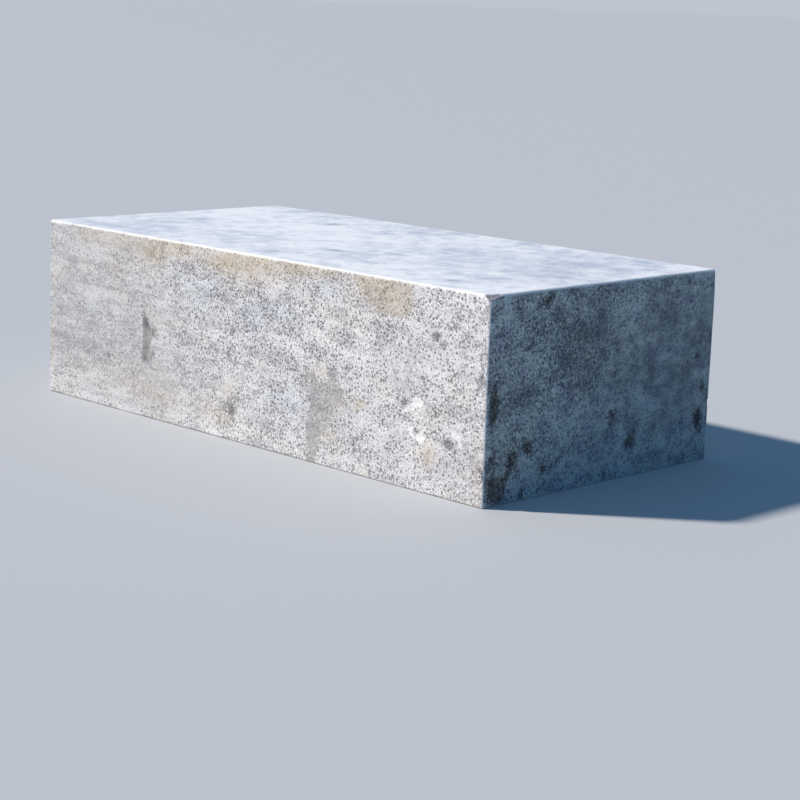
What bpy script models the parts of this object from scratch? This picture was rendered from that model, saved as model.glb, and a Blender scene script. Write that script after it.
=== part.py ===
"""A sawn marble block for a garden: one solid stone with eased arrises, a broken corner and shallow pits.

Run it with blender --background --python part.py, or from Blender's text editor.
Metres, +Z up. The origin is the middle of the underside. The block's long side runs along X, and its
height is its shortest side. The front is the long side towards -Y, and the end is the side towards +X.
"""

import math

import bmesh
import bpy
from mathutils import Vector

# Driving dimensions of the sawn block
LENGTH = 1.200
WIDTH = 0.600
HEIGHT = 0.350

# The rounding that was rubbed onto the arrises, wider round the top, and the flats that it is made of
ARRIS = 0.003
TOP_ARRIS = 0.006
ARRIS_STEPS = 4

# The corner between the front, the end and the top, which is knocked off. How far the break runs along
# the front arris, along the end arris and down the upright one, and how deep it is hollowed
BREAK_ALONG_FRONT = 0.018
BREAK_ALONG_END = 0.034
BREAK_DOWN = 0.0095
BREAK_HOLLOW = 0.0105

# How a cutter stands out of the face that it cuts
PROUD = 0.003

STONE_COLOUR = (0.56, 0.55, 0.53, 1.0)
STONE_ROUGHNESS = 0.6

UP, DOWN = Vector((0, 0, 1)), Vector((0, 0, -1))
RIGHT, LEFT = Vector((1, 0, 0)), Vector((-1, 0, 0))
AWAY, NEAR = Vector((0, 1, 0)), Vector((0, -1, 0))

# Each face's top left corner as seen from outside, the way to its right, the way down it and the way out
FACES = {
    "front": (Vector((-LENGTH / 2, -WIDTH / 2, HEIGHT)), RIGHT, DOWN, NEAR),
    "end": (Vector((LENGTH / 2, -WIDTH / 2, HEIGHT)), AWAY, DOWN, RIGHT),
    "back": (Vector((LENGTH / 2, WIDTH / 2, HEIGHT)), LEFT, DOWN, AWAY),
    "far_end": (Vector((-LENGTH / 2, WIDTH / 2, HEIGHT)), NEAR, DOWN, LEFT),
    "top": (Vector((-LENGTH / 2, WIDTH / 2, HEIGHT)), RIGHT, NEAR, UP),
}

# Hollows in the faces: the face, the middle's distance from its left edge and below its top edge, half
# the width, half the height, the depth and the turn that makes each ragged outline its own
HOLLOWS = {
    "grey_slot": ("front", 0.320, 0.199, 0.011, 0.041, 0.0030, 0.4),
    "scaled_patch": ("front", 0.809, 0.254, 0.034, 0.050, 0.0016, 1.1),
    "scaled_lobe": ("front", 0.839, 0.181, 0.014, 0.010, 0.0012, 2.0),
    "white_scale_a": ("front", 1.038, 0.206, 0.015, 0.011, 0.0012, 0.9),
    "white_scale_b": ("front", 1.050, 0.253, 0.012, 0.010, 0.0012, 2.6),
    "white_scale_c": ("front", 1.142, 0.246, 0.009, 0.014, 0.0012, 4.1),
    "grey_pit": ("front", 1.118, 0.257, 0.009, 0.008, 0.0022, 5.0),
    "dark_pocks": ("front", 1.090, 0.086, 0.011, 0.007, 0.0020, 3.3),
    "edge_pit": ("front", 1.187, 0.140, 0.004, 0.010, 0.0020, 1.7),
    "low_pit": ("front", 0.570, 0.285, 0.011, 0.007, 0.0020, 0.2),
    "top_blotch": ("end", 0.143, 0.020, 0.009, 0.008, 0.0025, 1.3),
    "tall_blotch": ("end", 0.019, 0.184, 0.009, 0.022, 0.0035, 2.9),
    "small_blotch": ("end", 0.019, 0.270, 0.005, 0.008, 0.0025, 0.7),
    "slanted_blotch": ("end", 0.069, 0.277, 0.011, 0.012, 0.0035, 3.8),
    "round_blotch": ("end", 0.105, 0.262, 0.008, 0.009, 0.0035, 4.6),
    "corner_blotch": ("end", 0.034, 0.322, 0.015, 0.020, 0.0045, 5.2),
    "low_blotch_a": ("end", 0.147, 0.306, 0.006, 0.007, 0.0025, 0.3),
    "low_blotch_b": ("end", 0.185, 0.295, 0.006, 0.005, 0.0025, 2.2),
    "wide_blotch": ("end", 0.375, 0.288, 0.012, 0.009, 0.0030, 1.9),
    "mid_blotch": ("end", 0.322, 0.238, 0.007, 0.009, 0.0025, 3.1),
    "right_blotch": ("end", 0.571, 0.271, 0.011, 0.018, 0.0035, 4.4),
    "right_pit_a": ("end", 0.577, 0.212, 0.005, 0.008, 0.0025, 5.7),
    "right_pit_b": ("end", 0.556, 0.156, 0.004, 0.006, 0.0020, 0.9),
    "top_spot": ("top", 0.342, 0.142, 0.010, 0.006, 0.0012, 2.4),
    "top_scratch": ("top", 0.658, 0.215, 0.012, 0.004, 0.0012, 4.9),
    "back_pit_a": ("back", 0.170, 0.232, 0.013, 0.010, 0.0030, 0.6),
    "back_pit_b": ("back", 0.468, 0.110, 0.008, 0.007, 0.0025, 3.5),
    "back_scale": ("back", 0.742, 0.205, 0.036, 0.024, 0.0020, 1.4),
    "back_pit_c": ("back", 0.985, 0.286, 0.010, 0.014, 0.0030, 5.5),
    "far_pit_a": ("far_end", 0.128, 0.246, 0.011, 0.009, 0.0030, 2.7),
    "far_pit_b": ("far_end", 0.372, 0.128, 0.007, 0.010, 0.0025, 4.0),
    "far_pit_c": ("far_end", 0.510, 0.298, 0.014, 0.010, 0.0035, 0.1),
}

# The rings of a hollow, as shares of its outline, and the points round each
HOLLOW_RINGS = (0.92, 0.74, 0.42)
HOLLOW_POINTS = 16
# A hollow's section: its depth falls off as this power of the way out to the outline
HOLLOW_POWER = 4

# Chips along the arrises: the two faces that meet there, the distance along the first face from its
# left edge, or from its top edge on an upright arris, half the length and the depth of the bite
CHIPS = {
    "front_chip_a": ("front", "top", 0.146, 0.010, 0.0044),
    "front_chip_b": ("front", "top", 0.402, 0.007, 0.0038),
    "front_chip_c": ("front", "top", 0.678, 0.014, 0.0044),
    "front_chip_d": ("front", "top", 0.955, 0.008, 0.0039),
    "end_chip_a": ("end", "top", 0.236, 0.007, 0.0038),
    "end_chip_b": ("end", "top", 0.451, 0.006, 0.0036),
    "back_chip_a": ("back", "top", 0.318, 0.012, 0.0054),
    "back_chip_b": ("back", "top", 0.833, 0.009, 0.0051),
    "far_chip": ("far_end", "top", 0.265, 0.011, 0.0052),
    "near_chip_a": ("end", "front", 0.128, 0.008, 0.0028),
    "near_chip_b": ("end", "front", 0.296, 0.010, 0.0036),
    "left_chip": ("front", "far_end", 0.187, 0.009, 0.0030),
    "right_chip": ("end", "back", 0.244, 0.010, 0.0032),
    "hidden_chip": ("far_end", "back", 0.118, 0.009, 0.0032),
}
# How far a chip's round cutter stands off the sharp arris, as a share of the bite
CHIP_STANDOFF = 0.9


def ragged(angle, turn):
    """A ragged outline's reach in one direction: 1 with a two, a three and a five-fold wave on it."""
    return (
        1
        + 0.14 * math.cos(2 * angle + turn)
        + 0.09 * math.cos(3 * angle + 2 * turn)
        + 0.06 * math.cos(5 * angle + 3 * turn)
    )


def new_object(name, bm):
    """Make an object of a closed bmesh whose faces all wind one way, turned so that they face out."""
    if bm.calc_volume(signed=True) < 0:
        bmesh.ops.reverse_faces(bm, faces=bm.faces)
    mesh = bpy.data.meshes.new(name)
    bm.to_mesh(mesh)
    bm.free()
    piece = bpy.data.objects.new(name, mesh)
    bpy.context.scene.collection.objects.link(piece)
    return piece


def sawn_block():
    """The block as it left the saw, with every arris rubbed round and those of the top the most."""
    bm = bmesh.new()
    bmesh.ops.create_cube(bm, size=1.0)
    bmesh.ops.scale(bm, vec=(LENGTH, WIDTH, HEIGHT), verts=bm.verts)
    bmesh.ops.translate(bm, vec=(0, 0, HEIGHT / 2), verts=bm.verts)
    weight = bm.edges.layers.float.new("bevel_weight_edge")
    for edge in bm.edges:
        at_top = all(vert.co.z > HEIGHT / 2 for vert in edge.verts)
        edge[weight] = 1.0 if at_top else ARRIS / TOP_ARRIS
    block = new_object("marble_block", bm)
    bevel = block.modifiers.new("arrises", "BEVEL")
    bevel.limit_method = "WEIGHT"
    bevel.width = TOP_ARRIS
    bevel.segments = ARRIS_STEPS
    bevel.profile = 0.5
    return block


def hollow_cutter(name, face, along, below, half_width, half_height, depth, turn):
    """A ragged cup that is sunk into a face, as rings that shrink towards its floor."""
    corner, right, down, out = FACES[face]
    middle = corner + right * along + down * below
    rings = [(1.0, -PROUD)] + [(reach, depth * (1 - reach**HOLLOW_POWER)) for reach in HOLLOW_RINGS]
    bm = bmesh.new()
    loops = []
    for reach, sunk in rings:
        loop = []
        for i in range(HOLLOW_POINTS):
            angle = 2 * math.pi * i / HOLLOW_POINTS
            size = reach * ragged(angle, turn)
            across = right * (half_width * size * math.cos(angle))
            along_down = down * (half_height * size * math.sin(angle))
            loop.append(bm.verts.new(middle + across + along_down - out * sunk))
        loops.append(loop)
    for outer, inner in zip(loops, loops[1:]):
        for i in range(HOLLOW_POINTS):
            j = (i + 1) % HOLLOW_POINTS
            bm.faces.new((outer[i], outer[j], inner[j], inner[i]))
    bm.faces.new(loops[0][::-1])
    floor = bm.verts.new(middle - out * depth)
    for i in range(HOLLOW_POINTS):
        bm.faces.new((loops[-1][i], loops[-1][(i + 1) % HOLLOW_POINTS], floor))
    return new_object(name, bm)


def chip_cutter(name, face, other_face, along, half_length, bite):
    """A long round lump whose side bites the arris between two faces."""
    corner, right, down, out = FACES[face]
    other_out = FACES[other_face][3]
    if other_face == "top":
        middle, run = corner + right * along, right
    else:
        # An upright arris is the first face's left edge, or its right one
        shift = 0.0 if other_out.dot(right) < 0 else LENGTH if face in ("front", "back") else WIDTH
        middle, run = corner + right * shift + down * along, down
    away = (out + other_out).normalized()
    radius = bite * (1 + CHIP_STANDOFF)
    bm = bmesh.new()
    bmesh.ops.create_icosphere(bm, subdivisions=2, radius=1.0)
    side = run.cross(away)
    for vert in bm.verts:
        x, y, z = vert.co
        offset = run * (x * half_length * 1.3) + away * (y * radius) + side * (z * radius * 1.5)
        vert.co = middle + away * (bite * CHIP_STANDOFF) + offset
    return new_object(name, bm)


def corner_cutter():
    """The broken corner: three facets that meet in a hollow, cut by the hull of five points."""
    corner = Vector((LENGTH / 2, -WIDTH / 2, HEIGHT))
    inward = (LEFT + AWAY + DOWN).normalized()
    points = [
        corner + LEFT * BREAK_ALONG_FRONT,
        corner + AWAY * BREAK_ALONG_END,
        corner + DOWN * BREAK_DOWN,
        corner + inward * BREAK_HOLLOW,
        corner - inward * 0.03,
    ]
    bm = bmesh.new()
    for point in points:
        bm.verts.new(point)
    bmesh.ops.convex_hull(bm, input=bm.verts)
    return new_object("broken_corner", bm)


def cut(block, cutter):
    """Take a cutter's shape out of the block, and keep the cutter out of the model."""
    cutter.hide_render = True
    cutter.display_type = "WIRE"
    boolean = block.modifiers.new(cutter.name, "BOOLEAN")
    boolean.operation = "DIFFERENCE"
    boolean.solver = "EXACT"
    boolean.object = cutter


def weathered_marble():
    """Pale grey marble with a dull, worn skin."""
    material = bpy.data.materials.new("weathered_marble")
    material.use_nodes = True
    shader = material.node_tree.nodes["Principled BSDF"]
    shader.inputs["Base Color"].default_value = STONE_COLOUR
    shader.inputs["Roughness"].default_value = STONE_ROUGHNESS
    shader.inputs["Metallic"].default_value = 0.0
    return material


def main():
    for thing in list(bpy.data.objects):
        bpy.data.objects.remove(thing)
    block = sawn_block()
    block.data.materials.append(weathered_marble())
    cut(block, corner_cutter())
    for name, chip in CHIPS.items():
        cut(block, chip_cutter(name, *chip))
    for name, hollow in HOLLOWS.items():
        cut(block, hollow_cutter(name, *hollow))


main()
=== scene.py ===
"""A weathered marble block for a garden, as a piece of stone that can be looked at from every side.

Run it as a script in Blender 4.5. It loads the block's CAD model as its frame, replaces the plain solid
with a finely meshed one of the same shape, gives it a worn marble skin, and sets up a plain pale studio.
Metres, +Z up, the origin in the middle of the underside. The front is the long side towards -Y, and the
end is the side towards +X.
"""

import math

import bpy
import numpy as np
from mathutils import Matrix, Vector


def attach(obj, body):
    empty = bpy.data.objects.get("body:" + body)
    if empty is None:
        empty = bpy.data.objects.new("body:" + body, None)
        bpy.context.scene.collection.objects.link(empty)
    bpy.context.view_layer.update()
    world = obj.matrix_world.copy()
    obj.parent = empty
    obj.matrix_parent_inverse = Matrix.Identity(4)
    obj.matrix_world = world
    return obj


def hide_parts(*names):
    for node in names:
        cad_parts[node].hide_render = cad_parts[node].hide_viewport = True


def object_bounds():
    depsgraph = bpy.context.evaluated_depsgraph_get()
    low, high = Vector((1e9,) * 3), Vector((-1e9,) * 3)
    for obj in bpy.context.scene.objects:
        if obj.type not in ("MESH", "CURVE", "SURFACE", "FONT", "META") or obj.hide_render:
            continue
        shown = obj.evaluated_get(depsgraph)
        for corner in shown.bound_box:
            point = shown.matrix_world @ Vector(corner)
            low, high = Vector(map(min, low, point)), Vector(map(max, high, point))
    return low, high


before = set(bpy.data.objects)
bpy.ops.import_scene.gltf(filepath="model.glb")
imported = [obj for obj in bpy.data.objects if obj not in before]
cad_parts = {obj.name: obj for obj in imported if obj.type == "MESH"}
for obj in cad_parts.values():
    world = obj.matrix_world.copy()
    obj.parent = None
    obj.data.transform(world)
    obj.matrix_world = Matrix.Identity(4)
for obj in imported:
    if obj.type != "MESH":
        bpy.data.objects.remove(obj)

bl_info = {
    "name": "Weathered marble block",
    "version": (1, 0, 0),
    "blender": (4, 5, 0),
    "location": "3D View > Sidebar > Stone",
    "description": "A sawn marble block with worn arrises, scaled patches and a speckled skin",
    "category": "Add Mesh",
}

# The frame's box, which the visual model stays inside
CAD_LOW, CAD_HIGH = [list(map(float, corner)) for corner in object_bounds()]
LENGTH, WIDTH, HEIGHT = [high - low for low, high in zip(CAD_LOW, CAD_HIGH)]
SIZE = np.array([LENGTH, WIDTH, HEIGHT])

# Each face's normal axis and side, and its own axes as seen from outside: along to the right, then down,
# each with the side of the block that it starts from
FACES = {
    "front": (1, -1, (0, -1), (2, 1)),
    "end": (0, 1, (1, -1), (2, 1)),
    "back": (1, 1, (0, 1), (2, 1)),
    "far_end": (0, -1, (1, 1), (2, 1)),
    "top": (2, 1, (0, -1), (1, 1)),
    "underside": (2, -1, (0, 1), (1, 1)),
}

# Hollows in the faces, as the CAD has them, in millimetres: the middle's distance from the face's left edge
# and below its top edge, half the width, half the height and the depth. Then the turn of the ragged outline,
# and how far past the rim the brown-black growth spreads, if the hollow holds any. The front has the grey
# slot, the scaled patch with its lobe, three white scales and four pits
HOLLOWS = {
    "front": [
        (320, 199, 11, 41, 3, 0.4, None), (809, 254, 34, 50, 1.6, 1.1, None),
        (839, 181, 14, 10, 1.2, 2.0, None), (1038, 206, 15, 11, 1.2, 0.9, None),
        (1050, 253, 12, 10, 1.2, 2.6, None), (1142, 246, 9, 14, 1.2, 4.1, None),
        (1118, 257, 9, 8, 2.2, 5.0, None), (1090, 86, 11, 7, 2, 3.3, None),
        (1187, 140, 4, 10, 2, 1.7, None), (570, 285, 11, 7, 2, 0.2, None),
    ],
    "end": [
        (143, 20, 9, 8, 2.5, 1.3, 1.5), (19, 184, 9, 22, 3.5, 2.9, 2.0), (19, 270, 5, 8, 2.5, 0.7, 2.0),
        (69, 277, 11, 12, 3.5, 3.8, 3.0), (105, 262, 8, 9, 3.5, 4.6, 2.5), (34, 322, 15, 20, 4.5, 5.2, 3.0),
        (147, 306, 6, 7, 2.5, 0.3, 1.0), (185, 295, 6, 5, 2.5, 2.2, 1.0), (375, 288, 12, 9, 3, 1.9, 3.0),
        (322, 238, 7, 9, 2.5, 3.1, 1.0), (571, 271, 11, 18, 3.5, 4.4, 2.5), (577, 212, 5, 8, 2.5, 5.7, 1.0),
        (556, 156, 4, 6, 2, 0.9, 0.5),
    ],
    "top": [(342, 142, 10, 6, 1.2, 2.4, None), (658, 215, 12, 4, 1.2, 4.9, None)],
    "back": [
        (170, 232, 13, 10, 3, 0.6, 1.5), (468, 110, 8, 7, 2.5, 3.5, 0.5), (742, 205, 36, 24, 2, 1.4, None),
        (985, 286, 10, 14, 3, 5.5, 2.0),
    ],
    "far_end": [
        (128, 246, 11, 9, 3, 2.7, 2.0), (372, 128, 7, 10, 2.5, 4.0, 1.0), (510, 298, 14, 10, 3.5, 0.1, 3.0),
    ],
}

# Chips along the arrises, as the CAD has them: the two faces that meet there and, in millimetres, the
# distance along the first face from its left edge, or from its top edge on an upright arris, half the length
# and the bite
CHIPS = [
    ("front", "top", 146, 10, 4.4), ("front", "top", 402, 7, 3.8), ("front", "top", 678, 14, 4.4),
    ("front", "top", 955, 8, 3.9), ("end", "top", 236, 7, 3.8), ("end", "top", 451, 6, 3.6),
    ("back", "top", 318, 12, 5.4), ("back", "top", 833, 9, 5.1), ("far_end", "top", 265, 11, 5.2),
    ("end", "front", 128, 8, 2.8), ("end", "front", 296, 10, 3.6), ("front", "far_end", 187, 9, 3),
    ("end", "back", 244, 10, 3.2), ("far_end", "back", 118, 9, 3.2),
]

# How far outside the arris a chip's round bite is centred, as a share of the bite
CHIP_STANDOFF = 0.9

# Marks with an edge, by face, as closed outlines: the distances from the face's left edge and below its
# top edge of one corner after another, in millimetres
OUTLINES = {
    "patch": {
        "front": [
            [775, 352, 773, 296, 776, 268, 781, 244, 781, 222, 781, 208, 775, 196, 779, 187, 791, 183,
             799, 194, 808, 204, 828, 200, 850, 199, 867, 207, 873, 214, 858, 227, 846, 240, 836, 255,
             840, 268, 826, 283, 812, 297, 806, 320, 800, 352],
            [822, 189, 828, 178, 838, 171, 850, 171, 856, 179, 847, 188, 834, 193],
        ],
        "back": [[712, 196, 724, 184, 748, 182, 772, 190, 778, 206, 766, 222, 742, 230, 718, 222]],
    },
    "slot": {
        "front": [
            [306, 155, 321, 155, 324, 168, 331, 174, 341, 178, 338, 187, 333, 198, 331, 210, 332, 220,
             345, 218, 342, 226, 334, 234, 322, 238, 313, 242, 306, 235, 305, 222, 306, 196, 306, 172],
            [766, 160, 770, 158, 774, 178, 775, 196, 768, 194, 768, 178],
        ],
    },
    "pit": {
        "front": [
            [305, 154, 321, 154, 323, 168, 318, 175, 306, 173],
            [321, 168, 328, 170, 329, 183, 323, 184],
            [332, 166, 340, 172, 351, 173, 350, 180, 342, 181, 344, 186, 357, 187, 357, 192, 343, 192,
             333, 189, 333, 180, 337, 178],
            [304, 142, 313, 142, 314, 150, 305, 150],
            [306, 230, 322, 232, 316, 242, 308, 240],
            [338, 220, 346, 219, 342, 228, 334, 234],
            [1006, 198, 1018, 193, 1023, 203, 1014, 212, 1006, 208],
            [1035, 242, 1044, 241, 1051, 249, 1045, 255, 1037, 250],
            [1107, 256, 1118, 247, 1129, 252, 1127, 265, 1114, 267],
            [1074, 78, 1088, 75, 1093, 84, 1082, 89],
            [1091, 91, 1106, 85, 1111, 94, 1101, 101, 1094, 98],
            [1184, 132, 1191, 129, 1193, 144, 1186, 147],
            [1007, 250, 1018, 251, 1019, 260, 1008, 259],
            [561, 284, 575, 281, 583, 295, 575, 305, 562, 299],
            [194, 241, 205, 245, 201, 255, 191, 250],
            [568, 139, 581, 142, 578, 151, 566, 150],
        ],
    },
    "growth": {
        "end": [
            [6, 166, 14, 159, 25, 163, 34, 172, 31, 184, 24, 190, 27, 203, 22, 212, 14, 206, 8, 196, 9, 180],
            [58, 270, 69, 262, 80, 271, 84, 282, 73, 290, 66, 300, 60, 316, 52, 330, 52, 342, 30, 345,
             10, 338, 8, 318, 12, 298, 22, 291, 30, 304, 42, 306, 50, 294, 55, 282],
            [88, 332, 96, 328, 99, 346, 86, 348],
        ],
    },
    "tan": {
        "front": [
            [884, -8, 1028, -8, 1029, 20, 1027, 44, 1020, 60, 1002, 63, 976, 57, 950, 60, 926, 50, 904, 36,
             888, 20],
        ],
    },
    "white": {
        "front": [
            [1012, 222, 1020, 208, 1030, 204, 1036, 194, 1052, 190, 1060, 196, 1054, 206, 1042, 208,
             1036, 216, 1024, 218],
            [1026, 246, 1036, 241, 1046, 250, 1056, 244, 1068, 256, 1058, 266, 1046, 262, 1034, 258],
            [1118, 236, 1130, 231, 1146, 240, 1152, 252, 1146, 264, 1138, 262, 1140, 250, 1130, 243],
        ],
    },
}

# Places of small marks, where the mesh is finer: the face, the middle, half the width and height in
# metres, and the share by which the step between the mesh's lines falls
FINE_MARKS = (("front", 0.345, 0.181, 0.004, 0.002, 0.72), ("front", 1.040, 0.228, 0.012, 0.006, 0.60))

# Soft stains, by face: the middle from its left edge and below its top edge and how far they reach each
# way, in millimetres, and their strength in percent
STAINS = {
    "ochre": {
        "front": [
            (140, 16, 60, 24, 60), (235, 14, 60, 26, 55), (325, 26, 50, 26, 90), (410, 12, 60, 24, 85),
            (535, 20, 60, 26, 95), (625, 18, 66, 30, 100), (730, 10, 60, 20, 80), (810, 6, 50, 16, 60),
            (215, 68, 50, 16, 40), (850, 242, 22, 22, 45), (908, 226, 16, 12, 85), (824, 292, 18, 10, 65),
            (1075, 285, 18, 20, 80), (812, 182, 14, 12, 45), (930, 16, 50, 34, 55), (985, 30, 34, 30, 50),
            (560, 262, 30, 16, 40), (540, 310, 60, 18, 40), (300, 300, 160, 30, 40), (4, 250, 14, 60, 45),
            (1188, 300, 12, 50, 30),
        ],
        "back": [(300, 10, 140, 26, 85), (820, 14, 100, 30, 75), (560, 300, 110, 24, 45)],
        "far_end": [(180, 8, 90, 22, 60), (470, 10, 60, 26, 45)],
        "end": [(300, 120, 130, 60, 20), (60, 140, 60, 50, 25)],
    },
    "grain": {
        "front": [
            (440, 65, 70, 40, 70), (600, 75, 110, 34, 50), (720, 85, 80, 45, 45), (560, 150, 120, 34, 30),
            (670, 290, 90, 36, 70), (170, 245, 40, 26, 70), (840, 50, 40, 30, 60), (1130, 190, 60, 40, 60),
            (1150, 40, 30, 20, 20), (1080, 78, 22, 14, 60), (1020, 190, 30, 20, 60),
            (480, 195, 50, 40, 35),
        ],
        "back": [(260, 120, 130, 60, 70), (900, 180, 110, 50, 70)],
        "end": [(130, 110, 150, 110, 80), (300, 20, 200, 20, 70), (130, 260, 70, 30, 60)],
        "far_end": [(300, 160, 140, 80, 50)],
        "top": [
            (1020, 200, 180, 220, 60), (1080, 480, 120, 120, 50), (640, 60, 300, 60, 45),
            (600, 520, 220, 80, 35),
        ],
    },
    "clean": {
        "front": [
            (60, 140, 130, 220, 95), (230, 200, 170, 200, 65), (360, 270, 160, 80, 60),
            (340, 120, 80, 40, 40),
        ],
        "end": [(480, 180, 160, 160, 80), (250, 300, 200, 60, 30)],
        "far_end": [(300, 150, 140, 100, 50)],
        "back": [(900, 200, 200, 140, 50)],
    },
    "blue": {
        "front": [
            (125, 160, 80, 12, 95), (105, 182, 70, 10, 80), (500, 45, 60, 30, 80), (410, 70, 60, 30, 60),
            (825, 34, 30, 20, 90), (620, 105, 160, 40, 55), (660, 250, 90, 16, 65), (660, 300, 90, 30, 50),
            (50, 20, 40, 16, 60), (110, 50, 80, 16, 55), (150, 250, 40, 20, 50), (840, 180, 16, 16, 70),
        ],
        "back": [(420, 210, 140, 30, 60), (900, 90, 100, 30, 60)],
    },
    "pale": {
        "end": [
            (95, 135, 40, 30, 75), (200, 175, 36, 26, 85), (430, 213, 28, 24, 80), (385, 215, 16, 24, 60),
            (300, 330, 300, 34, 85), (80, 330, 50, 20, 70), (560, 300, 40, 40, 50), (30, 60, 30, 60, 55),
            (170, 250, 30, 20, 50), (190, 26, 30, 16, 60), (440, 120, 60, 40, 30), (300, 270, 100, 50, 50),
            (70, 170, 12, 10, 70), (430, 218, 6, 24, 60),
        ],
        "front": [
            (600, 190, 90, 16, 45), (950, 250, 70, 60, 70), (1110, 100, 80, 60, 80),
            (630, 226, 16, 18, 80), (640, 155, 70, 14, 50), (250, 325, 180, 22, 70),
            (500, 330, 100, 16, 60), (1000, 320, 130, 20, 50), (930, 150, 60, 20, 40),
        ],
        "top": [(280, 280, 260, 240, 45), (780, 400, 120, 120, 30), (800, 570, 400, 40, 60)],
        "far_end": [(300, 325, 260, 30, 60)],
        "back": [(600, 328, 500, 26, 55)],
    },
    "cloud": {
        "end": [
            (240, 80, 60, 30, 75), (280, 60, 30, 40, 55), (185, 120, 20, 20, 60), (420, 170, 14, 36, 70),
            (445, 205, 10, 10, 70), (220, 178, 20, 14, 60), (360, 210, 20, 30, 50), (370, 262, 20, 20, 60),
            (330, 258, 34, 8, 60), (120, 238, 30, 20, 45), (490, 60, 50, 30, 45), (570, 100, 24, 60, 50),
            (60, 175, 40, 8, 60), (60, 160, 26, 30, 35), (455, 90, 16, 30, 50), (556, 158, 8, 18, 70),
            (594, 235, 8, 14, 80), (480, 310, 12, 16, 40), (75, 172, 40, 22, 40), (200, 115, 26, 18, 50),
            (246, 170, 20, 14, 50), (530, 185, 34, 50, 35), (120, 60, 120, 50, 30), (260, 140, 90, 50, 25),
        ],
        "top": [
            (345, 140, 24, 28, 95), (115, 330, 80, 50, 35), (80, 550, 40, 24, 55), (140, 560, 20, 20, 50),
            (610, 530, 18, 22, 75), (1020, 180, 70, 50, 40), (1070, 50, 26, 20, 50),
            (1045, 532, 18, 16, 80), (740, 365, 20, 16, 60), (655, 430, 36, 14, 70), (648, 206, 9, 8, 85),
            (664, 224, 9, 8, 85), (250, 200, 40, 26, 35), (390, 410, 18, 16, 40), (560, 90, 50, 20, 35),
            (780, 30, 40, 16, 40), (900, 80, 120, 30, 30), (1000, 210, 20, 14, 50),
            (1080, 450, 30, 30, 45), (90, 600, 140, 10, 50),
        ],
        "front": [
            (1085, 82, 14, 10, 60), (572, 290, 14, 16, 55), (1120, 258, 12, 10, 65),
            (1033, 212, 10, 6, 50), (190, 248, 12, 8, 60), (420, 45, 30, 16, 45), (862, 75, 14, 22, 50),
            (250, 36, 30, 12, 40), (140, 108, 60, 12, 40), (556, 192, 40, 30, 30), (1188, 140, 6, 14, 90),
            (12, 16, 12, 12, 50), (500, 222, 30, 14, 35), (769, 182, 3, 16, 60), (70, 240, 90, 40, 85),
        ],
        "back": [(640, 120, 80, 30, 40)],
        "far_end": [(250, 100, 80, 50, 45)],
    },
}

# Wavelength and seed of each noise in the shape: how far the arrises wander, the gentle unevenness of the
# faces and its finer part, the floors of the hollows, chips and broken corner, and how white the arrises are
# painted, as worn stone and painted highlight
WAVES = {
    "arris": (0.022, 1), "uneven": (0.090, 3), "uneven_fine": (0.035, 4), "hollow": (0.0035, 5),
    "chip": (0.004, 6), "break": (0.005, 7), "rubbed_and_lit": (0.030, 8),
}
LATTICE = 32

# The mesh's lines: the angles on the rounding of an arris where they stand, the first step behind it, how
# fast the steps grow, and how far past a mark they stay small. Points are drawn together at a mark to this
# share of their distance from its middle
ARRIS_ANGLES = (45, 39, 33, 27, 20, 13, 6, 0)
FIRST_STEP = 0.0022
STEP_GROWTH = 0.30
GATHER_MARGIN = 0.010
GATHER_TIGHT = 0.22

# The share by which the step between the mesh's lines falls at a hollow, and the angle above which an edge
# of the mesh is drawn sharp
HOLLOW_CROWD = 0.50
SHARP_ANGLE = math.radians(38)

# How far inside its outline a point far away from every mark counts, in millimetres, and how much of the
# ends' painted shade the far end takes, with the near one at 1
FAR_OUTSIDE = -25.0
FAR_END_SHADE = 0.35

# How far below the top the rounding starts to change from the upright arrises' to the top ones', and the
# height over which it does
BLEND_START = 0.050
BLEND_LENGTH = 0.040

# Where each face lies on the UV map, in metres on a square sheet: the left edge, the bottom edge and
# the share of full size. The underside is smaller, and stands on its side
SHEET = 1.70
SHEET_PLACES = {
    "front": (0.010, 0.010, 1.0), "back": (0.010, 0.375, 1.0), "top": (0.010, 0.740, 1.0),
    "end": (0.010, 1.345, 0.97), "far_end": (0.605, 1.345, 0.97), "underside": (1.225, 0.010, 0.72),
}

# The camera of the photograph: its place, its right, up and back directions, its lens and sensor
CAMERA_PLACE = Vector((2.68765, -2.60397, 0.80390))
CAMERA_RIGHT = Vector((0.705179, 0.708234, 0.033576))
CAMERA_UP = Vector((-0.163676, 0.116529, 0.979608))
CAMERA_BACK = Vector((0.689879, -0.696294, 0.198095))
CAMERA_LENS = 89.04
CAMERA_SENSOR = 36.0

# The way that the key light travels, and the floor's radius, rings and points on a ring
KEY_TRAVEL = Vector((0.587, 0.492, -0.643))
FLOOR_REACH = 400.0
FLOOR_RINGS = 24
FLOOR_TURNS = 48


def linear(colour):
    """An sRGB hex colour as linear red, green and blue."""
    parts = [int(colour[i:i + 2], 16) / 255 for i in (1, 3, 5)]
    return [part / 12.92 if part <= 0.04045 else ((part + 0.055) / 1.055) ** 2.4 for part in parts]


def value_noise(points, wave):
    """Smooth noise from 0 to 1: random values on a cubic lattice, blended between its corners with
    3t squared less 2t cubed along each axis."""
    wavelength, seed = WAVES[wave]
    lattice = np.random.default_rng(seed).random((LATTICE, LATTICE, LATTICE))
    place = points / wavelength + 2 * LATTICE
    base = np.floor(place).astype(int)
    share = place - base
    share = share * share * (3 - 2 * share)
    total = np.zeros(len(points))
    for corner in range(8):
        bits = np.array([corner & 1, corner >> 1 & 1, corner >> 2 & 1])
        weight = np.prod(np.where(bits, share, 1 - share), axis=1)
        cell = (base + bits) % LATTICE
        total += weight * lattice[cell[:, 0], cell[:, 1], cell[:, 2]]
    return total


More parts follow.
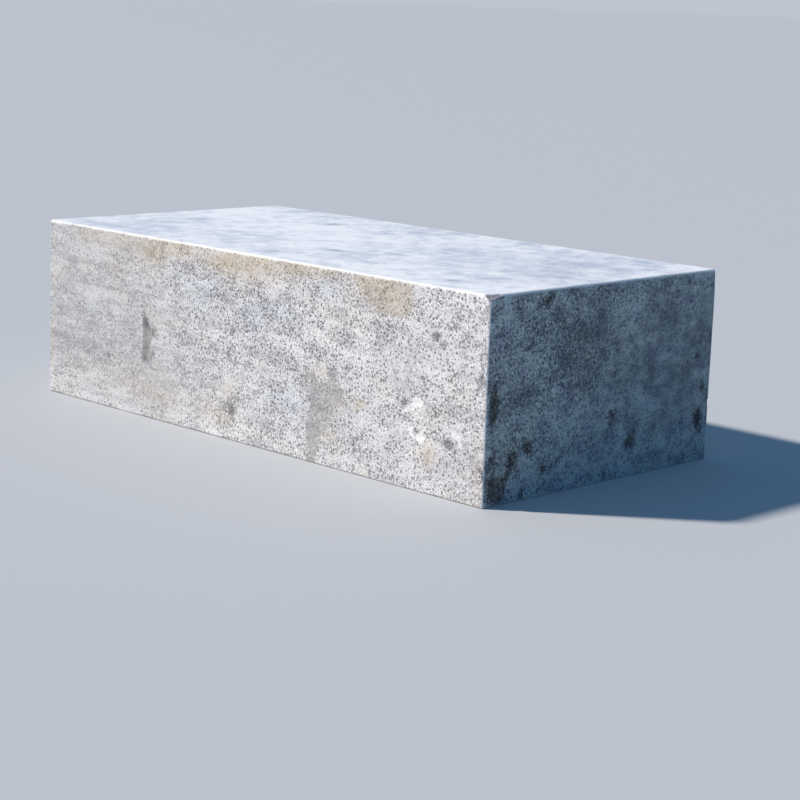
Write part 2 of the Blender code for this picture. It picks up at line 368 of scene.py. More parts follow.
def grid_lines(size, radius, cell, gathers):
    """Places of a box's grid lines along one side, from 0 to its size. The last lines before an arris
    stand where the tangents of eight angles up to 45 degrees put them on its rounding. Between them, the
    step grows with the distance from the arris up to the cell, and falls near each gather by its share."""
    arris = radius * (1 - np.tan(np.radians(ARRIS_ANGLES)))
    fine = np.linspace(radius, size - radius, 4001)
    step = np.minimum(cell, FIRST_STEP + STEP_GROWTH * np.minimum(fine, size - fine))
    crowd = np.zeros_like(fine)
    for place, reach, share in gathers:
        crowd = np.maximum(crowd, share * np.exp(-((fine - place) / (reach + GATHER_MARGIN)) ** 2))
    step = np.minimum(step, cell * (1 - crowd))
    count = np.concatenate([[0], np.cumsum((1 / step)[:-1] * np.diff(fine))])
    inner = np.interp(np.linspace(0, count[-1], int(math.ceil(count[-1])) + 1), count, fine)
    return np.concatenate([arris[:-1], inner, (size - arris[:-1])[::-1]])


def face_place(points, face):
    """Where points lie on a face: along it from its left edge, down it from its top edge, and whether
    they are on it. Points are on the sharp box, from its lowest corner."""
    normal, side, across, down = FACES[face]
    along, below = [
        points[:, axis] if start < 0 else SIZE[axis] - points[:, axis] for axis, start in (across, down)
    ]
    plane = SIZE[normal] if side > 0 else 0.0
    return along, below, np.abs(points[:, normal] - plane) < 1e-7


def face_frame(face):
    """A face's top left corner, its directions along, down and out, and the axes of the first two."""
    normal, side, across, down = FACES[face]
    corner, right, below, out = np.zeros((4, 3))
    corner[normal] = SIZE[normal] if side > 0 else 0.0
    out[normal] = side
    for direction, (axis, start) in ((right, across), (below, down)):
        corner[axis] = 0.0 if start < 0 else SIZE[axis]
        direction[axis] = -start
    return corner, right, below, out, across[0], down[0]


def hollows():
    """Each hollow in metres: its face, middle, half width, half height, depth, turn and growth's spread."""
    for face, rows in HOLLOWS.items():
        for row in rows:
            yield face, *[length / 1000 for length in row[:5]], *row[5:]


def chips():
    """Each chip in metres: half its length, its bite, its middle on its arris, the arris's axis and
    direction, and the way out between its two faces."""
    for face, other, *lengths in CHIPS:
        place, half, bite = [length / 1000 for length in lengths]
        corner, right, below, out, across, down = face_frame(face)
        other_out = face_frame(other)[3]
        away = (out + other_out) / math.sqrt(2)
        if other == "top":
            yield half, bite, corner + right * place, across, right, away
        else:
            far = SIZE[across] if other_out @ right > 0 else 0.0
            yield half, bite, corner + right * far + below * place, down, below, away


def hollow_reach(along, below, hollow):
    """How far out points are from a hollow's middle, 1 on its rim: an ellipse with a two, a three and a
    five-fold wave on it."""
    _, middle, middle_down, half, half_down, _, turn, _ = hollow
    across = (along - middle) / half
    down = (below - middle_down) / half_down
    angle = np.arctan2(down, across)
    rim = (
        1 + 0.14 * np.cos(2 * angle + turn) + 0.09 * np.cos(3 * angle + 2 * turn)
        + 0.06 * np.cos(5 * angle + 3 * turn)
    )
    return np.hypot(across, down) / rim


def outline_inside(along, below, outline):
    """How far points lie inside a closed outline, in millimetres, and below 0 outside it: the distance
    to the nearest of its edges, with the sign of the even-odd rule."""
    points = np.stack([along, below], axis=1) * 1000
    corners = np.reshape(outline, (-1, 2)).astype(float)
    nearest = np.full(len(points), np.inf)
    inside = np.zeros(len(points), bool)
    for first, last in zip(corners, np.roll(corners, -1, axis=0)):
        edge = last - first
        offset = points - first
        share = np.clip(offset @ edge / (edge @ edge), 0, 1)
        nearest = np.minimum(nearest, np.hypot(*(offset - share[:, None] * edge).T))
        crosses = (first[1] > points[:, 1]) != (last[1] > points[:, 1])
        rise = edge[1] if edge[1] else 1e-9
        inside ^= crosses & (offset[:, 0] < edge[0] * offset[:, 1] / rise)
    return np.where(inside, nearest, -nearest)


def gather(points, radius):
    """Draw the sharp box's grid points together at each chip and hollow, without a fold. A point that
    is a share r of the zone's reach away moves to a + (1 - a) r squared of its distance."""
    for half, _, middle, axis, _, _ in chips():
        room = min(middle[axis], SIZE[axis] - middle[axis]) - radius - 0.004
        share = np.linalg.norm(points - middle, axis=1) / min(half * 6, room)
        pull = np.where(share < 1, GATHER_TIGHT + (1 - GATHER_TIGHT) * share**2, 1)
        points[:, axis] = middle[axis] + (points[:, axis] - middle[axis]) * pull
    for face, along, down, half, half_down, *_ in hollows():
        corner, right, below, _, *axes = face_frame(face)
        middle = corner + right * along + below * down
        shares = []
        for axis, own_half in zip(axes, (half, half_down)):
            room = min(middle[axis], SIZE[axis] - middle[axis]) - radius - 0.001
            shares.append((points[:, axis] - middle[axis]) / min(own_half * 3 + 0.012, room))
        share = np.hypot(*shares)
        on_face = face_place(points, face)[2]
        pull = np.where(on_face & (share < 1), GATHER_TIGHT + (1 - GATHER_TIGHT) * share**2, 1)
        for axis in axes:
            points[:, axis] = middle[axis] + (points[:, axis] - middle[axis]) * pull
    return points


def box_grid(lines):
    """A box as six welded grids: its points, its quads and each quad's face.

    A grid point is named by its three line numbers, so points that two or three faces share are one."""
    counts = [len(line) for line in lines]
    names, quads, faces = [], [], []
    for number, (face, (normal, side, across, down)) in enumerate(FACES.items()):
        first, second = [
            np.arange(counts[axis])[::-1] if start > 0 else np.arange(counts[axis])
            for axis, start in (across, down)
        ]
        index = np.zeros((len(second), len(first), 3), int)
        index[..., across[0]] = first[None, :]
        index[..., down[0]] = second[:, None]
        index[..., normal] = counts[normal] - 1 if side > 0 else 0
        name = index[..., 0] + counts[0] * (index[..., 1] + counts[1] * index[..., 2])
        quad = np.stack([name[1:, :-1], name[1:, 1:], name[:-1, 1:], name[:-1, :-1]], axis=-1)
        if face == "underside":
            quad = quad[..., ::-1]
        quads.append(quad.reshape(-1, 4))
        faces.append(np.full(len(quads[-1]), number))
        names.append(name.ravel())
    unique = np.unique(np.concatenate(names))
    quads = np.searchsorted(unique, np.concatenate(quads))
    i, j, k = unique % counts[0], unique // counts[0] % counts[1], unique // (counts[0] * counts[1])
    points = np.stack([lines[0][i], lines[1][j], lines[2][k]], axis=1)
    return points, quads, np.concatenate(faces)


def rounded(sharp, radius):
    """A sharp box's points on the rounded block, and the way out at each: the nearest point of a core
    that is smaller by the radius, and from there the radius towards the sharp point."""
    local = radius[:, None]
    core = np.clip(sharp, local, SIZE - local)
    out = (sharp - core) / local
    out /= np.linalg.norm(out, axis=1)[:, None]
    return core + out * local, out


def worn(points, sharp, out, sizes):
    """The block's points with its hollows, chips, broken corner and gentle unevenness, all inwards, and
    which of them lie on the broken corner."""
    uneven = value_noise(sharp, "uneven") + 0.5 * value_noise(sharp, "uneven_fine")
    points = points - out * (sizes.unevenness * uneven / 1.5)[:, None]
    hollow_floor = 0.78 + 0.44 * value_noise(sharp, "hollow")
    for hollow in hollows():
        face, depth = hollow[0], hollow[5]
        along, below, on_face = face_place(sharp, face)
        sunk = depth * np.clip(1 - hollow_reach(along, below, hollow)**4, 0, 1) * on_face
        points -= face_frame(face)[3] * (sunk * hollow_floor)[:, None]
    chip_floor = 0.90 + 0.16 * value_noise(sharp, "chip")
    for half, bite, middle, _, run, away in chips():
        side = np.cross(run, away)
        bulge = bite * (1 + CHIP_STANDOFF) * chip_floor
        offset = points - middle - away * bite * CHIP_STANDOFF
        flat = 1 - (offset @ run / (half * 1.3)) ** 2 - (offset @ side / (bulge * 1.5)) ** 2
        floor = -bulge * np.sqrt(np.clip(flat, 0, None))
        sunk = np.clip(offset @ away - floor, 0, None) * (flat > 0)
        points -= away * sunk[:, None]
    corner = np.array([LENGTH, 0.0, HEIGHT])
    turned = np.array([-1.0, 1.0, -1.0])
    inward = turned / math.sqrt(3)
    ends = corner + turned * np.diag([sizes.break_along_front, sizes.break_along_end, sizes.break_down])
    heart = corner + inward * sizes.break_hollow
    travel = np.full(len(points), np.inf)
    for first, last in ((0, 1), (1, 2), (2, 0)):
        normal = np.cross(ends[first] - heart, ends[last] - heart)
        travel = np.minimum(travel, (heart - points) @ normal / (inward @ normal))
    broken = (np.linalg.norm(points - corner, axis=1) < 0.06) & (travel > 0)
    travel = np.where(broken, travel + 0.0012 * value_noise(sharp, "break"), 0)
    return points + inward * travel[:, None], broken


def skin_fields(sharp, out, broken):
    """What the material reads at each point: soft stains from 0 to 1, and marks with an edge as the
    distance inside it in millimetres.

    A stain is 1 less the product, over its spots, of 1 less strength times a bell curve. A mark takes
    the greatest distance of its outlines."""
    places = {face: face_place(sharp, face) for face in FACES}
    fields = {}
    for name, faces in STAINS.items():
        clear = np.ones(len(sharp))
        for face, spots in faces.items():
            along, below, on_face = places[face]
            for spot in spots:
                middle, middle_down, half, half_down = [length / 1000 for length in spot[:4]]
                bell = np.exp(-((along - middle) / half) ** 2 - ((below - middle_down) / half_down) ** 2)
                clear *= 1 - spot[4] / 100 * bell * on_face
        fields[name] = 1 - clear
    for name, faces in OUTLINES.items():
        inside = np.full(len(sharp), FAR_OUTSIDE)
        for face, outlines in faces.items():
            along, below, on_face = places[face]
            for outline in outlines:
                own = outline_inside(along, below, outline)
                inside = np.where(on_face, np.maximum(inside, own), inside)
        fields[name] = inside
    for hollow in hollows():
        face, _, _, half, half_down, _, _, spread = hollow
        if spread is not None:
            along, below, on_face = places[face]
            inside = (1 - hollow_reach(along, below, hollow)) * min(half, half_down) * 1000 + spread
            fields["growth"] = np.where(on_face, np.maximum(fields["growth"], inside), fields["growth"])

    # How far each point faces up, to either end and down. The ends' share carries their painted shade, less
    # of it at the far end
    fields["honed"] = out[:, 2] ** 2 * (out[:, 2] > 0)
    fields["shaded_end"] = out[:, 0] ** 2 * np.where(out[:, 0] > 0, 1.0, FAR_END_SHADE)
    fields["underside"] = out[:, 2] ** 2 * (out[:, 2] < 0)

    # Arrises are painted white where they face between two sides, the top ones on their upper half or where
    # they turn to the end, more on the end's side and less towards the far end, and so is the lip of the top
    # beside
    # the front and the end: partly worn stone, partly a painted highlight along the rounded arrises
    rubbed_and_lit = np.clip((1 - np.abs(out).max(axis=1)) / 0.22, 0, 1)
    upwards = np.clip((out[:, 2] - 0.40) / 0.35, 0, 1)
    high = sharp[:, 2] > HEIGHT - 0.02
    endwards = np.clip(out[:, 0] / 0.3, 0, 1)
    rubbed_and_lit *= np.where(high, np.maximum(upwards, endwards), 1)
    rubbed_and_lit *= (0.75 + 0.5 * value_noise(sharp, "rubbed_and_lit")) * (0.60 + 0.40 * endwards)
    edge = np.minimum(sharp[:, 1], LENGTH - sharp[:, 0])
    lip = 0.35 * np.exp(-np.clip(edge - 0.007, 0, None) / 0.006) * high * (out[:, 2] > 0.9)
    fields["arris"] = np.maximum(rubbed_and_lit, lip) * np.clip(0.30 + sharp[:, 0] / 0.22, 0, 1)
    fields["broken"] = broken.astype(float)
    return fields


def baked_sheet(sharp, quads, quad_faces):
    """The UV place of each quad corner: its face's own place, laid on the sheet in real proportions."""
    places = np.zeros((len(quads), 4, 2))
    for number, face in enumerate(FACES):
        chosen = quad_faces == number
        along, below, _ = face_place(sharp, face)
        left, bottom, share = SHEET_PLACES[face]
        if face == "underside":
            across, up = below, along
        else:
            across, up = along, (WIDTH if face == "top" else HEIGHT) - below
        flat = np.stack([left + across * share, bottom + up * share], axis=1) / SHEET
        places[chosen] = flat[quads[chosen]]
    return places


def add(tree, kind, inputs, out=0, **settings):
    """Add a shader node, set its settings, set or link its inputs, and return one of its outputs."""
    node = tree.nodes.new("ShaderNode" + kind)
    for name, value in settings.items():
        setattr(node, name, value)
    for name, value in inputs.items():
        if isinstance(value, bpy.types.NodeSocket):
            tree.links.new(value, node.inputs[name])
        else:
            node.inputs[name].default_value = value
    return node.outputs[out]


def weighted(tree, total, *terms):
    """A total plus its terms, each a source times its share."""
    for source, share in terms:
        total = add(tree, "Math", {0: source, 1: share, 2: total}, operation="MULTIPLY_ADD")
    return total


def laid_on(tree, colours, base, *layers, blend="MIX"):
    """Colours laid on a base in their order, each by a strength times its mask. A colour is a socket or
    the name of one of the settings."""
    def paint(colour):
        return (*getattr(colours, colour), 1) if isinstance(colour, str) else colour

    base = paint(base)
    for mask, strength, colour in layers:
        share = add(tree, "Math", {0: mask, 1: strength}, operation="MULTIPLY")
        mixed = {0: share, 6: base, 7: paint(colour)}
        base = add(tree, "Mix", mixed, out=2, data_type="RGBA", blend_type=blend)
    return base


def weathered_marble(colours):
    """Marble that was sawn, honed on top and left outdoors for years. Calcite crystals 2 to 4 mm across
    have weathered to a pale, dull skin with dark grains of dirt between them, so the eye gets a dense
    pepper on a warm white, ochre rust stains below the top arris and smooth scars where it scaled."""
    material = bpy.data.materials.new("weathered_marble")
    material.use_nodes = True
    tree = material.node_tree
    tree.nodes.clear()
    place = add(tree, "TexCoord", {}, out="Object")
    field = {
        name: add(tree, "Attribute", {}, out="Fac", attribute_name=name)
        for name in (*STAINS, *OUTLINES, "honed", "shaded_end", "underside", "arris", "broken")
    }

    # Noise at real wavelengths, with a scale of 1000 / millimetres. The coarser ones are longer by two
    # thirds along the beds. Then bedding 100 mm long and 14 mm thick, and runs 18 mm wide and 125 mm long,
    # along which the painted shade of the ends deepens
    laid, flat, upright = [
        add(tree, "Mapping", {"Vector": place, "Scale": scale})
        for scale in ((0.6, 0.6, 1.0), (10.0, 10.0, 70.0), (55.0, 55.0, 8.0))
    ]
    noise = {
        name: add(tree, "TexNoise", {"Vector": vector, "Scale": scale, "Detail": detail,
                                     "Roughness": roughness})
        for name, vector, scale, detail, roughness in (
            ("speck", place, 1000 / 3.4, 2.0, 0.60), ("grit", place, 1000 / 7.5, 3.0, 0.65),
            ("pepper", place, 1000 / 1.9, 1.0, 0.5), ("blotch", place, 1000 / 12, 2.5, 0.65),
            ("clump", laid, 1000 / 24, 3.0, 0.6), ("drift", laid, 1000 / 42, 3.0, 0.55),
            ("wide", laid, 1000 / 130, 3.0, 0.5), ("edge", place, 1000 / 8, 4.0, 0.70),
            ("mottle", laid, 1000 / 21, 4.0, 0.6), ("tint", laid, 1000 / 60, 4.0, 0.6),
            ("bedding", flat, 1.0, 3.0, 0.6), ("runs", upright, 1.0, 3.0, 0.6),
        )
    }

    # How dirty the stone is: drifts 2 and 4 cm across, and the stains
    dirty = weighted(
        tree, -0.20, (noise["drift"], 0.18), (noise["mottle"], 0.20), (field["grain"], 0.040),
        (field["cloud"], 0.060), (field["pale"], -0.030), (field["ochre"], -0.048),
        (field["clean"], -0.018),
    )

    # Rounder grains, one in a cell of 6.9 or 4.2 mm, at random sizes up to 3 mm and 1.8 mm in radius. They
    # lie where this level, the distance from the cell's point less what makes them larger, is low
    level = []
    for millimetres in (6.9, 4.2):
        chance = add(tree, "TexVoronoi", {"Vector": place, "Scale": 1000 / millimetres}, out="Color")
        lot = add(tree, "SeparateColor", {"Color": chance}, out="Red")
        distance = chance.node.outputs["Distance"]
        level.append(weighted(tree, distance, (lot, -0.22), (noise["pepper"], -0.40), (dirty, -1.5)))

    # Marks with an edge are ragged by noise of a few millimetres and by the grains themselves. Their name,
    # how far each of these two moves the edge, and how soft it is, in millimetres
    marks = [
        (name, weighted(tree, field[name], (noise["edge"], wander), (noise["speck"], grain)),
         (wander + grain - soft) / 2, (wander + grain + soft) / 2, 0.0, 1.0)
        for name, wander, grain, soft in (
            ("tan", 8.0, 6.0, 5.0), ("patch", 8.0, 8.0, 4.0), ("white", 10.0, 10.0, 3.5),
            ("slot", 6.0, 6.0, 3.5), ("pit", 10.0, 14.0, 8.0), ("growth", 16.0, 22.0, 13.0),
        )
    ]

    # Dark grains between the crystals, from fine specks to clumps: noise over a threshold that falls where
    # the stone is dirtier. The finest would be 1 mm, and are drawn at 2 to 4 mm so that they show
    grains = [
        (name, weighted(tree, dirty, (noise[name], 1.0)), low, high, 0.0, 1.0)
        for name, low, high in (
            ("speck", 0.52, 0.62), ("grit", 0.52, 0.67), ("blotch", 0.50, 0.66), ("clump", 0.50, 0.70),
        )
    ]

    # Every mask is a ramp over one of these or over a sum of noise and stains: where it starts and ends,
    # and its least and greatest value. The marks and the dark grains have soft ends
    # How much deeper the ends' painted shade is, in runs and clouds
    deep_shade = weighted(
        tree, 0.0, (noise["runs"], 0.35), (noise["clump"], 0.35), (noise["drift"], 0.42),
        (field["cloud"], 0.16), (field["pale"], -0.14),
        (weighted(tree, 0.0, (field["grain"], noise["speck"]), (field["grain"], -0.5)), 1.3),
    )
    shade = weighted(
        tree, noise["mottle"], (noise["wide"], 0.80), (noise["drift"], 0.60), (noise["grit"], 0.45),
        (noise["blotch"], 0.45), (field["pale"], -0.20), (field["grain"], 0.22), (field["cloud"], 0.50),
    )
    # Where the ends' painted shade turns purplish
    bluer = weighted(tree, noise["mottle"], (field["pale"], 0.12))
    spotted = weighted(tree, field["cloud"], (noise["edge"], 1.6))
    straight = (
        ("dot", level[0], 0.085, -0.005, 0.0, 1.0),
        ("fine_dot", level[1], 0.065, -0.035, 0.0, 1.0),
        ("clouds", noise["wide"], 0.35, 0.65, 0.0, 1.0),
        ("beds", noise["bedding"], 0.46, 0.64, 0.0, 1.0),
        ("warm", noise["tint"], 0.50, 0.62, 0.0, 1.0),
        ("cool", noise["tint"], 0.50, 0.38, 0.0, 1.0),
        ("rust", noise["mottle"], 0.36, 0.58, 0.58, 1.0),
        ("flecks", noise["speck"], 0.46, 0.34, 0.0, 1.0),
        ("thin", noise["grit"], 0.36, 0.58, 0.55, 0.94),
        ("spots", spotted, 1.25, 1.75, 0.0, 1.0),
        ("violet_shade", bluer, 0.48, 0.64, 0.0, 0.34),
        ("deep_shade", deep_shade, 0.42, 0.72, 0.0, 1.0),
        ("shade", shade, 1.46, 2.14, 0.0, 0.95),
        ("rough", field["honed"], 0.0, 1.0, 0.72, 0.50),
        ("calm", field["honed"], 0.0, 1.0, 1.0, 0.25),
    )
    mask = {
        name: add(
            tree, "MapRange",
            {"Value": source, "From Min": start, "From Max": end, "To Min": least, "To Max": most},
            interpolation_type="LINEAR" if number < len(straight) else "SMOOTHSTEP",
        )
        for number, (name, source, start, end, least, most) in enumerate((*straight, *marks, *grains))
    }

    # Each of these shows only where a stain or mark allows it: the rust in the ochre stains, the blotches
    # and beds where the grains are worn, the growth where it is thin, and the spots on the top
    rust, worn_blotch, worn_beds, growth, spots = [
        weighted(tree, 0.0, pair) for pair in (
            (mask["rust"], field["ochre"]), (mask["blotch"], field["clean"]),
            (mask["beds"], field["clean"]), (mask["thin"], mask["growth"]), (mask["spots"], field["honed"]),
        )
    ]

    # The sides: warm white, greyer in clouds and beds, bluer where lime has washed down, then the marks,
    # the grains and, over them, what has worn or covered the grains. On the ends the smooth grey stone is
    # laid over the whole face as part of their painted shade
    skin = laid_on(
        tree, colours, "pale", (mask["clouds"], 1.0, "grey"), (mask["beds"], 0.58, "bed"),
        (mask["warm"], 0.28, "cream"), (mask["cool"], 0.25, "blue"), (field["blue"], 0.65, "blue"),
        (rust, 0.85, "ochre"), (field["pale"], 0.70, "lime"), (mask["tan"], 0.40, "tan"),
        (mask["patch"], 0.62, "scar"), (mask["white"], 0.80, "fresh_and_highlight"), (field["shaded_end"], 0.40, "smooth"),
        (mask["grit"], 0.12, "dirt"), (mask["speck"], 0.38, "dirt"), (mask["fine_dot"], 0.62, "dirt"),
        (mask["dot"], 0.72, "dirt"), (mask["flecks"], 0.75, "fresh_and_highlight"), (field["clean"], 0.55, "smooth"),
        (mask["clump"], 0.26, "smudge"), (mask["blotch"], 0.24, "smudge"), (worn_blotch, 0.50, "smudge"),
        (worn_beds, 0.34, "smudge"), (field["cloud"], 0.26, "smudge"), (rust, 0.24, "ochre"),
        (mask["white"], 0.62, "fresh_and_highlight"), (mask["tan"], 0.16, "tan"), (mask["patch"], 0.38, "scar"),
        # The pits, beside the white scales and round the slot, are laid dark in the grains' colour
        (mask["slot"], 0.60, "slot"), (mask["pit"], 0.62, "dirt"),
    )

    # Painted shade: the ends are drawn darker and bluer, as they look in shade, deeper in runs and clouds and
    # purplish in places, and the far end gets about a third of it. The honed top is paler, with soft clouds
    # whose bluish tint is a painted reflection of the sky, and the arrises are paler still, partly worn stone
    # and partly a painted highlight
    end_shade = laid_on(tree, colours, "end_shade", (mask["deep_shade"], 1.0, "end_shade_dark"), (mask["violet_shade"], 1.0, "violet_shade"))
    skin = laid_on(tree, colours, skin, (field["shaded_end"], 1.0, end_shade), blend="MULTIPLY")
    honed = laid_on(tree, colours, "honed", (mask["shade"], 1.0, "honed_sky_clouds"))
    skin = laid_on(
        tree, colours, skin, (growth, 1.0, "growth"), (field["honed"], 1.0, honed), (spots, 0.42, "smudge"),
        (field["arris"], 0.90, "fresh_and_highlight"), (field["broken"], 0.80, "broken"), (field["underside"], 1.0, "soil"),
    )

    # The honed top is smoothest and the grains dullest. Relief: grains are pits of a few tenths of a
    # millimetre, and the skin between them is slightly sandy
    rough = weighted(tree, mask["rough"], (mask["speck"], 0.12))
    relief = weighted(tree, 0.0, (mask["speck"], -0.75), (noise["pepper"], 0.6))
    relief = weighted(tree, 0.0, (relief, mask["calm"]))
    bump = add(tree, "Bump", {"Height": relief, "Distance": 0.0004, "Strength": 0.8})
    shader = add(
        tree, "BsdfPrincipled",
        {"Base Color": skin, "Roughness": rough, "Normal": bump, "Metallic": 0.0, "IOR": 1.5},
    )
    output = tree.nodes.new("ShaderNodeOutputMaterial")
    tree.links.new(shader, output.inputs["Surface"])
    return material


def length_property(name, description, default, least=0.0, most=0.1):
    """A length that a user can change, in metres."""
    return bpy.props.FloatProperty(
        name=name, description=description, default=default, min=least, max=most, unit="LENGTH")


def colour_property(name, description, hex_colour):
    """A colour that a user can change, from an sRGB hex value."""
    return bpy.props.FloatVectorProperty(
        name=name, description=description, subtype="COLOR", size=3, min=0.0, max=1.0,
        default=linear(hex_colour))


class StoneSizes(bpy.types.PropertyGroup):
    """Sizes of the stone's worn shape and of its mesh."""

    arris: length_property("Arris", "Radius of the upright and lower arrises", 0.003, 0.002, 0.010)
    top_arris: length_property("Top arris", "Radius of the arrises round the top", 0.006, 0.002, 0.012)
    arris_wander: length_property(
        "Arris wander", "How much that radius changes along an arris", 0.0008, 0.0, 0.0015)
    unevenness: length_property("Unevenness", "How far the faces dip below the flat", 0.0004, 0.0, 0.002)
    break_along_front: length_property(
        "Break along the front", "Length of the broken corner on the front arris", 0.018)
    break_along_end: length_property(
        "Break along the end", "Length of the broken corner on the end's top arris", 0.034)
    break_down: length_property("Break down", "Length of the broken corner on the upright arris", 0.0095)
    break_hollow: length_property(
        "Break hollow", "Depth of the broken corner, from the sharp corner inwards", 0.0105)
    cell: length_property("Cell", "Widest step between the mesh's lines", 0.010, 0.004, 0.05)


class StoneColours(bpy.types.PropertyGroup):
    """Colours of the marble's skin, its stains and its scars."""

    pale: colour_property("Pale stone", "Clean stone of the long sides", "#f0edea")
    grey: colour_property("Grey stone", "Clouds in the stone of the long sides", "#d4d3d6")
    bed: colour_property("Bedding", "Beds that run along the stone", "#b9b5b3")
    cream: colour_property("Warm stone", "Warm drifts in the stone", "#e4dbc9")
    smooth: colour_property("Smooth stone", "Stone whose grains are worn and even", "#bab9b8")
    smudge: colour_property("Smudges", "Grey blotches of a centimetre or two", "#939295")
    blue: colour_property("Washed stone", "Stone that lime has washed bluish", "#d3dae2")
    ochre: colour_property("Ochre", "Rust stains below the top arris", "#bfac8e")
    lime: colour_property("Lime", "Pale bands and patches of lime", "#e0dfe3")
    dirt: colour_property("Grains", "Dark grains between the crystals", "#5b585b")
    tan: colour_property("Tan", "The brown patch with a sharp edge", "#b7a994")
    scar: colour_property("Scar", "Smooth stone where the skin scaled off", "#a9a8a5")
    # The broken corner is painted a darker purple-grey than the stone round it
    broken: colour_property("Broken corner", "Darker stone of the broken corner", "#7c727d")
    # This white is also the painted highlight along the arrises
    fresh_and_highlight: colour_property("Fresh stone", "White stone where it flaked or was rubbed", "#faf8f5")
    slot: colour_property("Slot", "The grey slot in the front", "#84827f")
    growth: colour_property("Growth", "Brown-black growth in the pits of the ends", "#2b211b")
    # The ends' painted shade: these tints draw the ends darker and bluer, deeper in runs, purplish in places
    end_shade: colour_property("Shaded end stone", "Tint of the ends", "#d3e8eb")
    end_shade_dark: colour_property("Deeper end shade", "Tint of the more shaded parts of the ends", "#a0b4b9")
    violet_shade: colour_property("Violet stone", "Tint of the bluer parts of the ends", "#a6a9d2")
    honed: colour_property("Honed top", "The smooth top", "#f2f3f5")
    # The clouds' bluish tint is a painted reflection of the sky
    honed_sky_clouds: colour_property("Honed clouds", "Clouds in the top", "#b0b9c9")
    soil: colour_property("Soil", "The underside, which lay on soil", "#a79c8c")


class StageSettings(bpy.types.PropertyGroup):
    """The floor, the light and the backdrop."""

    sun: bpy.props.FloatProperty(
        name="Key light", description="Strength of the key light", default=4.6, min=0.0)
    sun_angle: bpy.props.FloatProperty(
        name="Key softness", description="Angle over which the key light is spread",
        default=math.radians(4.0), subtype="ANGLE")
    sun_colour: colour_property("Key colour", "Colour of the key light", "#fff6ec")
    fill_colour: colour_property("Fill colour", "Colour of the light from all round", "#77a7d6")
    fill: bpy.props.FloatProperty(
        name="Fill", description="Strength of the light from all round", default=0.55, min=0.0)
    floor_colour: colour_property("Floor", "Colour of the floor", "#b9bcc0")
    backdrop_colour: colour_property("Backdrop", "Colour behind the floor", "#bec4d0")


class STONE_OT_block(bpy.types.Operator):
    """Build the worn marble block over its CAD solid"""

    bl_idname = "stone.block"
    bl_label = "Marble block"

    def execute(self, context):
        sizes, colours = context.scene.stone_sizes, context.scene.stone_colours
        widest = sizes.top_arris + sizes.arris_wander
        gathers = [[], [], []]
        marks = [(*hollow[:5], HOLLOW_CROWD) for hollow in hollows()]
        for face, along, down, half, half_down, share in marks + list(FINE_MARKS):
            corner, right, below, _, *axes = face_frame(face)
            middle = corner + right * along + below * down
            for axis, reach in zip(axes, (half, half_down)):
                gathers[axis].append((middle[axis], reach, share))
        lines = [grid_lines(size, widest, sizes.cell, own) for size, own in zip(SIZE, gathers)]
        sharp, quads, quad_faces = box_grid(lines)
        sharp = gather(sharp, widest)
        high = np.clip((sharp[:, 2] - HEIGHT + BLEND_START) / BLEND_LENGTH, 0, 1)
        radius = sizes.arris + (sizes.top_arris - sizes.arris) * high * high * (3 - 2 * high)
        radius += sizes.arris_wander * (2 * value_noise(sharp, "arris") - 1)
        points, out = rounded(sharp, radius)
        points, broken = worn(points, sharp, out, sizes)
        points += CAD_LOW

        mesh = bpy.data.meshes.new("marble_skin")
        mesh.from_pydata(points.tolist(), [], quads.tolist())
        for name, values in skin_fields(sharp, out, broken).items():
            attribute = mesh.attributes.new(name, "FLOAT", "POINT")
            attribute.data.foreach_set("value", values.astype(np.float32))
        sheet = mesh.uv_layers.new(name="OFBake")
        sheet.data.foreach_set("uv", baked_sheet(sharp, quads, quad_faces).ravel().astype(np.float32))
        mesh.polygons.foreach_set("use_smooth", np.ones(len(quads), bool))
        mesh.set_sharp_from_angle(angle=SHARP_ANGLE)
        mesh.materials.append(weathered_marble(colours))
        if mesh.validate():
            raise RuntimeError("the marble block's mesh had to be mended")
        block = bpy.data.objects.new("marble_skin", mesh)
        context.scene.collection.objects.link(block)
        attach(block, "root")
        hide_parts("marble_block")
        return {"FINISHED"}


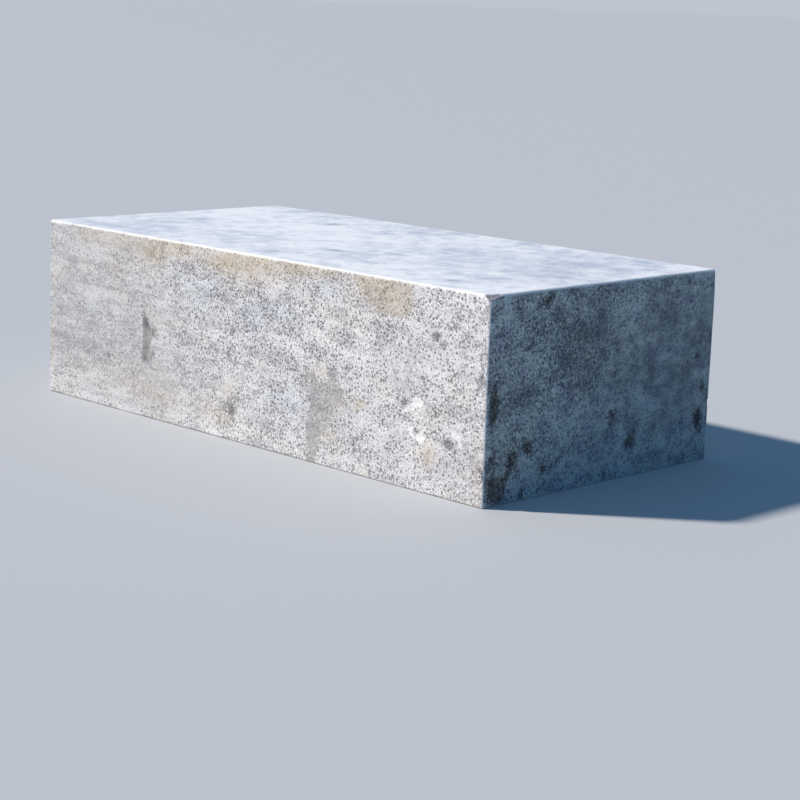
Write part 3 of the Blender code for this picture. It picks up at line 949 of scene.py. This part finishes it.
class STONE_OT_stage(bpy.types.Operator):
    """Set up the floor, the key light, the fill and the camera"""

    bl_idname = "stone.stage"
    bl_label = "Stage"

    def execute(self, context):
        scene, settings = context.scene, context.scene.stone_stage
        scene.view_settings.view_transform = "Standard"
        scene.view_settings.look = "None"

        # The floor is a round sheet: rings that grow outwards, so that it reaches the horizon
        rings = np.geomspace(1.0, FLOOR_REACH, FLOOR_RINGS)
        turns = np.linspace(0, 2 * np.pi, FLOOR_TURNS, endpoint=False)
        points = np.stack([
            np.outer(rings, np.cos(turns)), np.outer(rings, np.sin(turns)),
            np.zeros((FLOOR_RINGS, FLOOR_TURNS)),
        ], axis=-1).reshape(-1, 3)
        points = np.concatenate([points, np.zeros((1, 3))])
        turn = np.arange(FLOOR_TURNS)
        after = (turn + 1) % FLOOR_TURNS
        inner = np.arange(FLOOR_RINGS - 1)[:, None] * FLOOR_TURNS
        outer = inner + FLOOR_TURNS
        quads = np.stack([inner + turn, outer + turn, outer + after, inner + after], axis=-1).reshape(-1, 4)
        middle = np.stack([np.full(FLOOR_TURNS, len(points) - 1), turn, after], axis=-1)
        mesh = bpy.data.meshes.new("floor")
        mesh.from_pydata(points.tolist(), [], quads.tolist() + middle.tolist())
        paint = bpy.data.materials.new("matt_floor_paint")
        paint.use_nodes = True
        shader = paint.node_tree.nodes["Principled BSDF"]
        shader.inputs["Base Color"].default_value = (*settings.floor_colour, 1)
        shader.inputs["Roughness"].default_value = 0.9
        shader.inputs["Specular IOR Level"].default_value = 0.2
        mesh.materials.append(paint)
        floor = bpy.data.objects.new("floor", mesh)
        scene.collection.objects.link(floor)

        # The key light stands high on the left, in front of the block
        key = bpy.data.lights.new("key", "SUN")
        key.energy = settings.sun
        key.color = settings.sun_colour
        key.angle = settings.sun_angle
        lamp = bpy.data.objects.new("key", key)
        lamp.matrix_world = KEY_TRAVEL.to_track_quat("-Z", "Y").to_matrix().to_4x4()
        scene.collection.objects.link(lamp)

        # The fill comes from all round, and the camera sees a pale backdrop in its place
        world = bpy.data.worlds.new("studio")
        world.use_nodes = True
        tree = world.node_tree
        tree.nodes.clear()
        fill = add(tree, "Background", {"Color": (*settings.fill_colour, 1), "Strength": settings.fill})
        backdrop = add(tree, "Background", {"Color": (*settings.backdrop_colour, 1), "Strength": 1.0})
        seen = add(tree, "LightPath", {}, out="Is Camera Ray")
        both = add(tree, "MixShader", {0: seen, 1: fill, 2: backdrop})
        output = tree.nodes.new("ShaderNodeOutputWorld")
        tree.links.new(both, output.inputs["Surface"])
        scene.world = world

        camera = bpy.data.cameras.new("camera")
        camera.lens = CAMERA_LENS
        camera.sensor_width = CAMERA_SENSOR
        camera.clip_end = 1000.0
        eye = bpy.data.objects.new("camera", camera)
        turned = Matrix((CAMERA_RIGHT, CAMERA_UP, CAMERA_BACK)).transposed().to_4x4()
        eye.matrix_world = Matrix.Translation(CAMERA_PLACE) @ turned
        scene.collection.objects.link(eye)
        scene.camera = eye
        return {"FINISHED"}


class STONE_PT_panel(bpy.types.Panel):
    """The block's settings and the buttons that build it"""

    bl_idname = "STONE_PT_panel"
    bl_label = "Marble block"
    bl_space_type = "VIEW_3D"
    bl_region_type = "UI"
    bl_category = "Stone"

    def draw(self, context):
        scene = context.scene
        for group, operator in (
            (scene.stone_sizes, None), (scene.stone_colours, STONE_OT_block.bl_idname),
            (scene.stone_stage, STONE_OT_stage.bl_idname),
        ):
            box = self.layout.box()
            for name in group.__annotations__:
                box.prop(group, name)
            if operator:
                box.operator(operator)


SETTINGS = {"stone_sizes": StoneSizes, "stone_colours": StoneColours, "stone_stage": StageSettings}
CLASSES = (*SETTINGS.values(), STONE_OT_block, STONE_OT_stage, STONE_PT_panel)


def register():
    for kind in CLASSES:
        bpy.utils.register_class(kind)
    for name, group in SETTINGS.items():
        setattr(bpy.types.Scene, name, bpy.props.PointerProperty(type=group))


def unregister():
    for name in SETTINGS:
        delattr(bpy.types.Scene, name)
    for kind in reversed(CLASSES):
        bpy.utils.unregister_class(kind)


def main():
    register()
    bpy.ops.stone.block()
    bpy.ops.stone.stage()


if __name__ == "__main__":
    main()
